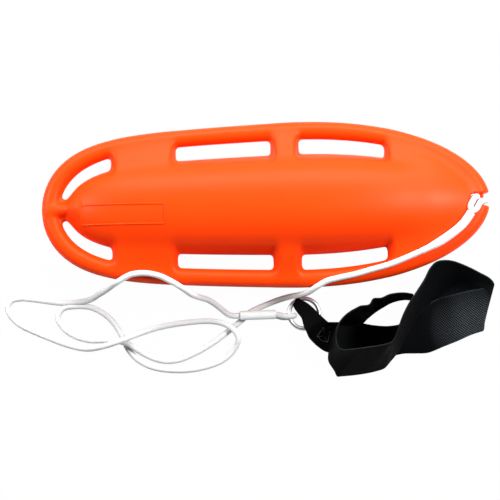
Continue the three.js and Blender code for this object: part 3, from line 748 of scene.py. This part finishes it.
# Top and bottom edge of the webbing at each station, from the seam end on the neck
STRAP_EDGES = np.array(in_metres([
    (1016, -1980, 176, 716, -2214, 176), (938, -1913, 188, 670, -2122, 188),
    (865, -1844, 192, 621, -2034, 192), (783, -1755, 182, 565, -1934, 182),
    (689, -1651, 141, 537, -1808, 141), (601, -1555, 94, 483, -1729, 94),
    (546, -1509, 84, 438, -1662, 84), (514, -1483, 84, 417, -1624, 84),
    (487, -1457, 99, 405, -1580, 99), (478, -1446, 136, 400, -1567, 136),
    (487, -1457, 173, 405, -1580, 173), (514, -1483, 188, 417, -1624, 188),
    (546, -1509, 194, 438, -1662, 194), (625, -1552, 198, 483, -1732, 198),
    (718, -1632, 204, 537, -1808, 204), (814, -1733, 214, 565, -1937, 214),
    (899, -1820, 222, 609, -2044, 222), (972, -1888, 212, 651, -2138, 212),
    (950, -1878, 140, 887, -2348, 120), (1130, -1882, 130, 1085, -2401, 60),
    (1330, -1877, 75, 1314, -2455, 30), (1510, -1906, 95, 1543, -2477, 25),
    (1708, -1957, 304, 1773, -2467, 20), (1917, -1979, 389, 2002, -2456, 20),
    (2113, -1951, 374, 2184, -2425, 20), (2323, -1823, 279, 2420, -2427, 20),
    (2522, -1675, 285, 2595, -2421, 20), (2742, -1555, 262, 2865, -2322, 20),
    (2974, -1500, 347, 3079, -2244, 20), (3217, -1445, 365, 3310, -2148, 20),
    (3429, -1411, 368, 3457, -2103, 20), (3596, -1385, 382, 3515, -2085, 20),
    (3647, -1353, 451, 3533, -1980, 20), (3563, -1261, 567, 3555, -1810, 20),
    (3398, -1170, 616, 3412, -1642, 20), (3185, -1048, 572, 3185, -1570, 20),
    (2960, -957, 550, 2964, -1545, 60), (2747, -960, 605, 2781, -1575, 135),
    (2591, -1073, 790, 2638, -1625, 250), (2455, -1280, 1000, 2513, -1715, 360),
    (2310, -1478, 1096, 2395, -1815, 420), (2190, -1653, 1063, 2289, -1972, 380),
    (2101, -1821, 1031, 2224, -2114, 340), (2041, -1989, 953, 2156, -2255, 250),
    (2000, -2125, 845, 2090, -2396, 140), (1935, -2239, 755, 1965, -2550, 50),
    (1850, -2270, 710, 1866, -2655, 20), (1747, -2289, 680, 1767, -2688, 20),
    (1591, -2307, 664, 1604, -2722, 20), (1367, -2333, 665, 1367, -2752, 20),
    (1205, -2345, 676, 1150, -2765, 20), (1145, -2340, 690, 1094, -2766, 20),
    (1087, -2303, 715, 1051, -2676, 40), (1050, -2160, 743, 955, -2503, 70),
    (1062, -2037, 816, 968, -2350, 130), (1106, -1921, 857, 1015, -2157, 140),
    (1178, -1829, 880, 1094, -1979, 140), (1276, -1752, 870, 1213, -1895, 135),
    (1377, -1697, 818, 1348, -1915, 128), (1455, -1660, 765, 1514, -1925, 135),
    (1599, -1643, 762, 1609, -1845, 80), (1660, -1552, 764, 1732, -1750, 20),
    (1790, -1545, 768, 1883, -1657, 20), (1920, -1492, 772, 2034, -1581, 20),
    (2135, -1472, 775, 2232, -1540, 20), (2323, -1505, 785, 2395, -1558, 30),
]))


def belt_lines(edges, step=0.003):
    """Top edge, bottom edge and facing of the webbing, evenly along its length."""
    tops, lows = spline(edges[:, :3], step=step), spline(edges[:, 3:], step=step)
    count = min(len(tops), len(lows))
    tops, lows = tops[:count], lows[:count]
    lengths = line_lengths((tops + lows) / 2)
    wanted = np.linspace(0.0, lengths[-1], count)
    tops, lows = (at_length(line, lengths, wanted) for line in (tops, lows))
    ahead = np.gradient((tops + lows) / 2, axis=0)
    return tops, lows, unit(np.cross(ahead, tops - lows))


def belt_middle(lines):
    """Running lengths of the webbing's middle line, and its mean width."""
    tops, lows, _ = lines
    return line_lengths((tops + lows) / 2), float(norm(tops - lows, axis=1).mean())


def strap_layer(name, lines, thickness, across=18):
    """Webbing along the two edge lines, with a rounded selvedge on each side."""
    tops, lows, normal = lines
    profile = belt_profile(thickness, across)
    points = [low + (top - low) * place + out * rise
              for top, low, out in zip(tops, lows, normal) for place, rise in profile]
    lengths, width = belt_middle(lines)
    arounds = [place * width for place, _ in profile + profile[:1]]
    return ring_mesh(name, points, lengths, arounds)


def place_on_belt(lines, along, across, rise):
    """A place on the webbing: metres along it, metres from its middle, rise off it."""
    lengths = belt_middle(lines)[0]
    top, low, out = (at_length(line, lengths, along) for line in lines)
    return (top + low) / 2 + unit(top - low) * across + out * rise


def belt_profile(thickness, across):
    """Section of the webbing as (share of the width, rise) pairs, once round."""
    half = thickness / 2
    edge = 0.014
    front = [(share, half) for share in np.linspace(edge, 1.0 - edge, across)]
    tip = [(1.0 - edge / 3, half * 0.7), (1.0, 0.0), (1.0 - edge / 3, -half * 0.7)]
    back = [(share, -half) for share, _ in reversed(front)]
    return front + tip + back + [(1.0 - share, -rise) for share, rise in tip]


# Materials


def new_material(name):
    material = bpy.data.materials.new(name)
    material.use_nodes = True
    tree = material.node_tree
    return material, tree, tree.nodes["Principled BSDF"]


def feed(tree, node, values):
    """Links or sets the inputs of a node."""
    for name, value in values.items():
        if isinstance(value, bpy.types.NodeSocket):
            tree.links.new(value, node.inputs[name])
        else:
            node.inputs[name].default_value = value


def add_node(tree, kind, inputs=None, **settings):
    node = tree.nodes.new("ShaderNode" + kind)
    for name, value in settings.items():
        setattr(node, name, value)
    feed(tree, node, inputs or {})
    return node


def maths(tree, operation, *values):
    inputs = dict(enumerate(values))
    return add_node(tree, "Math", inputs, operation=operation).outputs[0]


def times(tree, first, second):
    return maths(tree, "MULTIPLY", first, second)


def mix_colour(tree, share, first, second):
    inputs = {0: share, 6: first, 7: second}
    return add_node(tree, "Mix", inputs, data_type="RGBA").outputs[2]


def noise(tree, place, scale, detail, roughness=0.5):
    inputs = {"Vector": place, "Scale": scale, "Detail": detail, "Roughness": roughness}
    return add_node(tree, "TexNoise", inputs).outputs[0]


def parts_of(tree, vector):
    return add_node(tree, "SeparateXYZ", {0: vector}).outputs


def object_place(tree):
    return add_node(tree, "TexCoord").outputs["Object"]


def scaled(colour, factor):
    return tuple(min(1.0, part * factor) for part in colour) + (1.0,)


def shades(tree, share, colour, dark, light):
    """Blend between a darker and a lighter tone of one colour."""
    return mix_colour(tree, share, scaled(colour, dark), scaled(colour, light))


def shader_group(name, inputs, outputs):
    """Node group with number inputs, or a vector where the value is None."""
    group = bpy.data.node_groups.new(name, "ShaderNodeTree")
    for label, value in inputs.items():
        kind = "NodeSocketVector" if value is None else "NodeSocketFloat"
        socket = group.interface.new_socket(label, in_out="INPUT", socket_type=kind)
        if value is not None:
            socket.default_value = value
    for label in outputs:
        group.interface.new_socket(label, in_out="OUTPUT", socket_type="NodeSocketFloat")
    return group, group.nodes.new("NodeGroupInput").outputs, group.nodes.new("NodeGroupOutput")


def use_group(tree, name, inputs=None):
    return add_node(tree, "Group", inputs, node_tree=bpy.data.node_groups[name]).outputs


def build_moulded_group():
    """Fine grain, soft waves and faint scuffs of moulded plastic."""
    group, given, result = shader_group(
        "moulded surface", {"Grain": 900.0, "Wave": 18.0}, ("Height", "Mottle", "Scuffs"))
    place = object_place(group)
    grain = noise(group, place, given["Grain"], 2.0)
    wave = noise(group, place, given["Wave"], 3.0)
    stretched = add_node(group, "Mapping", {"Vector": place, "Scale": (30.0, 260.0, 60.0)}).outputs[0]
    scratch = noise(group, stretched, 1.0, 4.0, 0.7)
    marks = maths(group, "MAXIMUM", 0.0, maths(group, "SUBTRACT", scratch, 0.62))
    scuffs = maths(group, "SMOOTH_MIN", 1.0, times(group, 6.0, marks), 0.1)
    height = maths(group, "ADD", times(group, grain, 0.3), wave)
    feed(group, result, {"Height": height, "Mottle": wave, "Scuffs": scuffs})


def crossed_waves(tree, kind, turns):
    """Height from 0 to 1 of two crossing waves."""
    waves = [maths(tree, kind, times(tree, turn, 2 * math.pi)) for turn in turns]
    return maths(tree, "MULTIPLY_ADD", times(tree, *waves), 0.5, 0.5)


def build_braid_group():
    """Diamond pattern of a braid from the length and the turn round it."""
    group, given, result = shader_group(
        "braid", {"Along": None, "Pitch": 260.0, "Strands": 8.0}, ("Height", "Fibre"))
    parts = parts_of(group, given["Along"])
    long = times(group, parts[0], given["Pitch"])
    turn = times(group, parts[1], given["Strands"])
    turns = [maths(group, operation, long, turn) for operation in ("ADD", "SUBTRACT")]
    height = crossed_waves(group, "COSINE", turns)
    fibre = noise(group, object_place(group), 1800.0, 3.0)
    feed(group, result, {"Height": height, "Fibre": fibre})


def build_webbing_group():
    """Small ribs of flat woven webbing from the length and the width."""
    group, given, result = shader_group(
        "webbing", {"Along": None, "Rows": 250.0, "Ribs": 250.0, "Width": 0.07},
        ("Height", "Dots", "Edge", "Fibre"))
    parts = parts_of(group, given["Along"])
    share = maths(group, "DIVIDE", parts[1], given["Width"])
    outward = maths(group, "ABSOLUTE", maths(group, "SUBTRACT", share, 0.5))
    edge = add_node(group, "MapRange", {"Value": outward, "From Min": 0.475, "From Max": 0.485}).outputs[0]
    turns = [times(group, part, given[count]) for part, count in zip(parts, ("Rows", "Ribs"))]
    height = crossed_waves(group, "SINE", turns)
    dots = maths(group, "POWER", maths(group, "MAXIMUM", 0.0, height), 3.0)
    fibre = noise(group, object_place(group), 650.0, 3.0)
    feed(group, result, {"Height": height, "Dots": dots, "Edge": edge, "Fibre": fibre})


def bump(tree, shader, height, distance, strength, **below):
    """Relief on the shader, over the relief below it if one is given."""
    inputs = {"Height": height, "Distance": distance, "Strength": strength, **below}
    normal = add_node(tree, "Bump", inputs).outputs[0]
    feed(tree, shader, {"Normal": normal})
    return normal


def along_uv(tree):
    return add_node(tree, "UVMap", uv_map="along").outputs[0]


def seam_shade_mask(tree):
    """Thin line of painted shade round the hull at middle height, where the mould parts."""
    away = maths(tree, "SUBTRACT", parts_of(tree, object_place(tree))[2], MID_Z)
    line = maths(tree, "LESS_THAN", maths(tree, "ABSOLUTE", away), SEAM_HALF_WIDTH)
    return times(tree, line, 0.45)


def moulded_material(name, colour, roughness=0.42, seam=False):
    """Moulded plastic: soft mottle, faint scuffs and, on the hull, painted shade along the mould seam."""
    material, tree, shader = new_material(name)
    surface = use_group(tree, "moulded surface")
    mottle, scuffs = surface["Mottle"], surface["Scuffs"]
    tint = shades(tree, mottle, colour, 0.94, 1.03)
    tint = mix_colour(tree, times(tree, scuffs, 0.12), tint, scaled(colour, 1.25))
    if seam:
        # Painted shade: a dark line of colour where the two mould halves meet.
        tint = mix_colour(tree, seam_shade_mask(tree), tint, scaled(colour, 0.45))
    rough = maths(tree, "MULTIPLY_ADD", mottle, 0.1, roughness - 0.05)
    rough = maths(tree, "MULTIPLY_ADD", scuffs, 0.12, rough)
    feed(tree, shader, {
        "Base Color": tint, "Roughness": rough, "Specular IOR Level": 0.15,
        "Specular Tint": (1.0, 0.8, 0.66, 1.0)})
    bump(tree, shader, surface["Height"], 0.00025, 0.35)
    return material


def grained_material(name, colour, tones, grain, relief, roughness, uneven=0.0, metal=0.0):
    """One colour, mottled between two tones, on a fine rough surface."""
    material, tree, shader = new_material(name)
    surface = use_group(tree, "moulded surface", {"Grain": grain[0], "Wave": grain[1]})
    if uneven:
        roughness = maths(tree, "MULTIPLY_ADD", surface["Mottle"], uneven, roughness)
    tint = shades(tree, surface["Mottle"], colour, *tones)
    feed(tree, shader, {"Base Color": tint, "Roughness": roughness, "Metallic": metal})
    bump(tree, shader, surface["Height"], *relief)
    return material


def plain_material(name, colour, roughness, grain, depth):
    """Foam, rubber or thread."""
    return grained_material(name, colour, (0.85, 1.1), (grain, grain / 8), (depth, 0.6), roughness)


def rope_material(colour):
    """Braided rope with fine fibres."""
    material, tree, shader = new_material("braided rope")
    braid = use_group(tree, "braid", {"Along": along_uv(tree)})
    fibres = times(tree, braid["Fibre"], 0.25)
    # Painted shade: the braid's grooves are darker and its crowns lighter, following the braid's height.
    tint = shades(tree, braid["Height"], colour, 0.86, 1.04)
    tint = mix_colour(tree, fibres, tint, scaled(colour, 0.8))
    feed(tree, shader, {"Base Color": tint, "Roughness": 0.62, "Sheen Weight": 0.2})
    deep = bump(tree, shader, braid["Height"], 0.0004, 0.6)
    bump(tree, shader, braid["Fibre"], 0.0002, 0.4, Normal=deep)
    return material


def webbing_material(colour, sheen_and_selvedge, width):
    """Black webbing, its weave paler along the selvedges and on one panel with a painted sheen."""
    material, tree, shader = new_material("black webbing")
    weave = use_group(tree, "webbing", {"Along": along_uv(tree), "Width": width})
    # Painted sheen: the raised dots of the weave turn paler on a round patch, in place of light falling on
    # that panel.
    ends = {0: object_place(tree), 1: SHEEN_PATCH_CENTRE}
    away = add_node(tree, "VectorMath", ends, operation="DISTANCE").outputs["Value"]
    sheen_patch = add_node(tree, "MapRange", {
        "Value": away, "From Min": SHEEN_PATCH_REACH[0], "From Max": SHEEN_PATCH_REACH[1],
        "To Min": 1.0, "To Max": 0.02}).outputs[0]
    sheen_patch = times(tree, sheen_patch, weave["Dots"])
    edge = times(tree, weave["Edge"], times(tree, weave["Fibre"], 0.22))
    tint = mix_colour(tree, maths(tree, "MAXIMUM", sheen_patch, edge), (*colour, 1.0), (*sheen_and_selvedge, 1.0))
    feed(tree, shader, {"Base Color": tint, "Roughness": 0.6, "Specular IOR Level": 0.03})
    deep = bump(tree, shader, weave["Height"], 0.0005, 0.7)
    bump(tree, shader, weave["Fibre"], 0.0003, 0.35, Normal=deep)
    return material


def dress(thing, material):
    thing.data.materials.clear()
    thing.data.materials.append(material)


def place_piece(thing, material, body, *nodes):
    """Dresses a piece, lets it stand for its solids and ride on its body."""
    dress(thing, material)
    if nodes:
        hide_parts(*nodes)
    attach(thing, body)
    return thing


# Pieces and stage


def stitch_line(lines, corners):
    """Places of the stitches along a run of corners on the webbing."""
    places = []
    for start, end in zip(np.array(corners), np.array(corners[1:])):
        count = max(2, int(norm(end - start) / STITCH_PITCH))
        for number in range(count):
            places.append([
                place_on_belt(lines, *(start + (end - start) * (number + share) / count), rise)
                for share, rise in STITCH_ARC])
    return places


def joined(name, things):
    """One object made of several."""
    with bpy.context.temp_override(active_object=things[0], selected_editable_objects=things):
        bpy.ops.object.join()
    things[0].name = name
    return things[0]


def dress_plug(settings):
    rubber = plain_material("black rubber", (0.02, 0.02, 0.02), 0.6, 900.0, 0.0003)
    dress(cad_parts["fill_plug"], moulded_material("orange plug", settings.colour))
    dress(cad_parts["plug_gasket"], rubber)


def make_splice():
    """Thick at the nose, then narrowed to the rope and tucked into it."""
    line = spline(SPLICE_ROUTE)
    share = line_lengths(line) / line_lengths(line)[-1]
    radius = blend((SPLICE_RADIUS, SPLICE_END_RADIUS), smooth_step(*SPLICE_TAPER, share))
    radius = radius - SPLICE_TUCK * smooth_step(*TIP_SPAN, share)
    return tube("splice_look", line, radius, 18)


def make_eye(node, route, braid):
    loop = tube(node + "_look", spline(route, closed=True), ROPE_RADIUS, closed=True)
    return place_piece(loop, braid, "float", node)


def make_sleeve(colour):
    line = spline(SLEEVE_ROUTE)
    share = line_lengths(line) / line_lengths(line)[-1]
    outward = np.abs(2.0 * share - 1.0)
    radius = SLEEVE_RADIUS - SLEEVE_END_STEP * smooth_step(*TIP_SPAN, outward)
    plastic = grained_material("sleeve plastic", colour, (0.92, 1.0), (700.0, 120.0), (0.0006, 0.5), 0.38)
    return place_piece(tube("sleeve_look", line, radius, 20), plastic, "float", "rope_sleeve")


def make_ring(colour):
    turns = np.linspace(0.0, 2 * math.pi, 97)[:-1]
    circle = np.stack([np.cos(turns), np.sin(turns), 0.0 * turns], axis=1)
    line = np.array(RING_CENTRE) + RING_MEAN_RADIUS * circle
    weld = np.exp(-((turns - RING_WELD_TURN) / RING_WELD_SPAN) ** 2)
    wire = tube("ring_look", line, RING_WIRE_RADIUS + RING_WELD_RISE * weld, 20, True)
    steel = grained_material(
        "steel", colour, (0.86, 1.05), (1500.0, 90.0), (0.00008, 0.3), 0.24, 0.14, metal=1.0)
    return place_piece(wire, steel, "ring", "tow_ring")


def make_stitching(lines):
    """A sewn box with its two diagonals."""
    near, far = STITCH_SPAN
    half = STITCH_HALF
    square = [(near, -half), (far, -half), (far, half), (near, half), (near, -half),
              (far, half), (far, -half), (near, half)]
    stitches = [tube("stitch", np.array(places), STITCH_RADIUS, 6) for places in stitch_line(lines, square)]
    thread = plain_material("thread", (0.05, 0.052, 0.06), 0.6, 1200.0, 0.0002)
    return place_piece(joined("stitch_thread", stitches), thread, "strap", "strap_stitching")


def aimed(name, data, place, look):
    """A lamp or camera at a place, looking in one direction."""
    thing = shown(name, data)
    thing.location = place
    thing.rotation_euler = look.to_track_quat("-Z", "Y").to_euler()
    return thing


def make_floor():
    """White to the camera, grey to the light that comes back from it."""
    points = [(x * FLOOR_HALF, y * FLOOR_HALF, -FLOOR_DROP)
              for x, y in ((-1, -1), (1, -1), (1, 1), (-1, 1))]
    floor = mesh_object("floor", points, [(0, 1, 2, 3)])
    material = bpy.data.materials.new("white floor")
    tree = bare_tree(material)
    seen = add_node(tree, "LightPath").outputs["Is Camera Ray"]
    matte = add_node(tree, "BsdfDiffuse", {"Color": (0.55, 0.55, 0.55, 1.0)})
    glow = add_node(tree, "Emission", {"Color": WHITE})
    mixed = add_node(tree, "MixShader", {
        0: times(tree, seen, 0.985), 1: matte.outputs[0], 2: glow.outputs[0]})
    add_node(tree, "OutputMaterial", {"Surface": mixed.outputs[0]})
    dress(floor, material)


def make_sky(scene):
    scene.world = bpy.data.worlds.new("soft sky")
    tree = bare_tree(scene.world)
    seen = add_node(tree, "LightPath").outputs["Is Camera Ray"]
    tint = mix_colour(tree, seen, (0.2, 0.21, 0.23, 1.0), WHITE)
    sky = add_node(tree, "Background", {"Color": tint, "Strength": 0.8})
    add_node(tree, "OutputWorld", {"Surface": sky.outputs[0]})


def bare_tree(owner):
    owner.use_nodes = True
    owner.node_tree.nodes.clear()
    return owner.node_tree


def make_camera(scene, settings):
    turn, tilt = settings.azimuth, settings.elevation
    right = Vector((math.cos(turn), math.sin(turn), 0.0))
    look = Vector((-right.y * math.cos(tilt), right.x * math.cos(tilt), -math.sin(tilt)))
    data = bpy.data.cameras.new("camera")
    data.angle = 2.0 * math.atan(VIEW_WIDTH / 2 / settings.distance)
    data.clip_start, data.clip_end = 0.05, 50.0
    place = (Vector((0.0, 0.0, MID_Z)) - look * settings.distance
             - right * VIEW_SHIFT[0] - right.cross(look) * VIEW_SHIFT[1])
    scene.camera = aimed("camera", data, place, look)
    scene.view_settings.view_transform = "Standard"


# Operators


class BUOY_OT_float(bpy.types.Operator):
    """Build the moulded float with its rails, slots and raised rectangle"""

    bl_idname = "buoy.float"
    bl_label = "Build the float"

    def execute(self, context):
        settings = context.scene.buoy_float
        step = settings.step * 1.0
        plastic = moulded_material("orange plastic", settings.colour, seam=True)
        place_piece(field_mesh("float", float_field, step), plastic, "float", "upper_shell", "lower_shell")
        ridge = moulded_material("orange ridge", settings.colour, 0.3)
        place_piece(label_rim(), ridge, "float")
        foam = plain_material("white foam", (0.82, 0.8, 0.72), 0.9, 260.0, 0.001)
        place_piece(field_mesh("foam", foam_field, 2.0 * step), foam, "float", "foam_core")
        dress_plug(settings)
        return {"FINISHED"}


class BUOY_OT_rope(bpy.types.Operator):
    """Build the tow rope with its splice, sleeve, eyes and ring"""

    bl_idname = "buoy.rope"
    bl_label = "Build the tow rope"

    def execute(self, context):
        settings = context.scene.buoy_rope
        braid = rope_material(settings.colour)
        line = spline(ROPE_ROUTE)
        rope = tube("tow_rope_braid", line, ROPE_RADIUS)
        pieces = [
            place_piece(make_splice(), braid, "float", "eye_splice"),
            make_eye("nose_eye", NOSE_EYE_ROUTE, braid),
            make_sleeve(settings.sleeve),
            make_eye("ring_eye", RING_EYE_ROUTE, braid),
            make_ring(settings.ring),
        ]
        place_piece(rope, braid, "float", "tow_rope")
        float(line_lengths(line)[-1])
        return {"FINISHED"}


class BUOY_OT_strap(bpy.types.Operator):
    """Build the shoulder strap and its stitching"""

    bl_idname = "buoy.strap"
    bl_label = "Build the strap"

    def execute(self, context):
        settings = context.scene.buoy_strap
        lines = belt_lines(STRAP_EDGES)
        lengths, width = belt_middle(lines)
        belt = strap_layer("strap_webbing", lines, settings.thickness)
        webbing = webbing_material(settings.colour, settings.sheen_and_selvedge, width)
        place_piece(belt, webbing, "strap", "strap_fold", "shoulder_strap")
        make_stitching(lines)
        return {"FINISHED"}


class BUOY_OT_stage(bpy.types.Operator):
    """Build the floor, the lights and the camera"""

    bl_idname = "buoy.stage"
    bl_label = "Build the stage"

    def execute(self, context):
        make_floor()
        make_sky(context.scene)
        for name, place, size, power in LIGHTS:
            data = bpy.data.lights.new(name, "AREA")
            data.shape = "RECTANGLE"
            data.size, data.size_y = size
            data.energy = power
            aimed(name, data, Vector(place), Vector(LIGHT_AIM) - Vector(place))
        make_camera(context.scene, context.scene.buoy_stage)
        return {"FINISHED"}


class BUOY_PT_panel(bpy.types.Panel):
    """Sidebar panel of the rescue can"""

    bl_idname = "BUOY_PT_panel"
    bl_label = "Rescue can buoy"
    bl_space_type = "VIEW_3D"
    bl_region_type = "UI"
    bl_category = "Buoy"

    def draw(self, context):
        for name, kind in SETTINGS:
            box = self.layout.box()
            for setting in kind.__annotations__:
                box.prop(getattr(context.scene, name), setting)
            box.operator(name.replace("_", "."))


CLASSES = (FloatSettings, RopeSettings, StrapSettings, StageSettings, BUOY_OT_float,
           BUOY_OT_rope, BUOY_OT_strap, BUOY_OT_stage, BUOY_PT_panel)
SETTINGS = (("buoy_float", FloatSettings), ("buoy_rope", RopeSettings),
            ("buoy_strap", StrapSettings), ("buoy_stage", StageSettings))


def register():
    for kind in CLASSES:
        bpy.utils.register_class(kind)
    for name, kind in SETTINGS:
        setattr(bpy.types.Scene, name, bpy.props.PointerProperty(type=kind))


def unregister():
    for name, _ in SETTINGS:
        delattr(bpy.types.Scene, name)
    for kind in reversed(CLASSES):
        bpy.utils.unregister_class(kind)


def main():
    register()
    build_moulded_group()
    build_braid_group()
    build_webbing_group()
    bpy.ops.buoy.float()
    bpy.ops.buoy.rope()
    bpy.ops.buoy.strap()
    bpy.ops.buoy.stage()


if __name__ == "__main__":
    main()
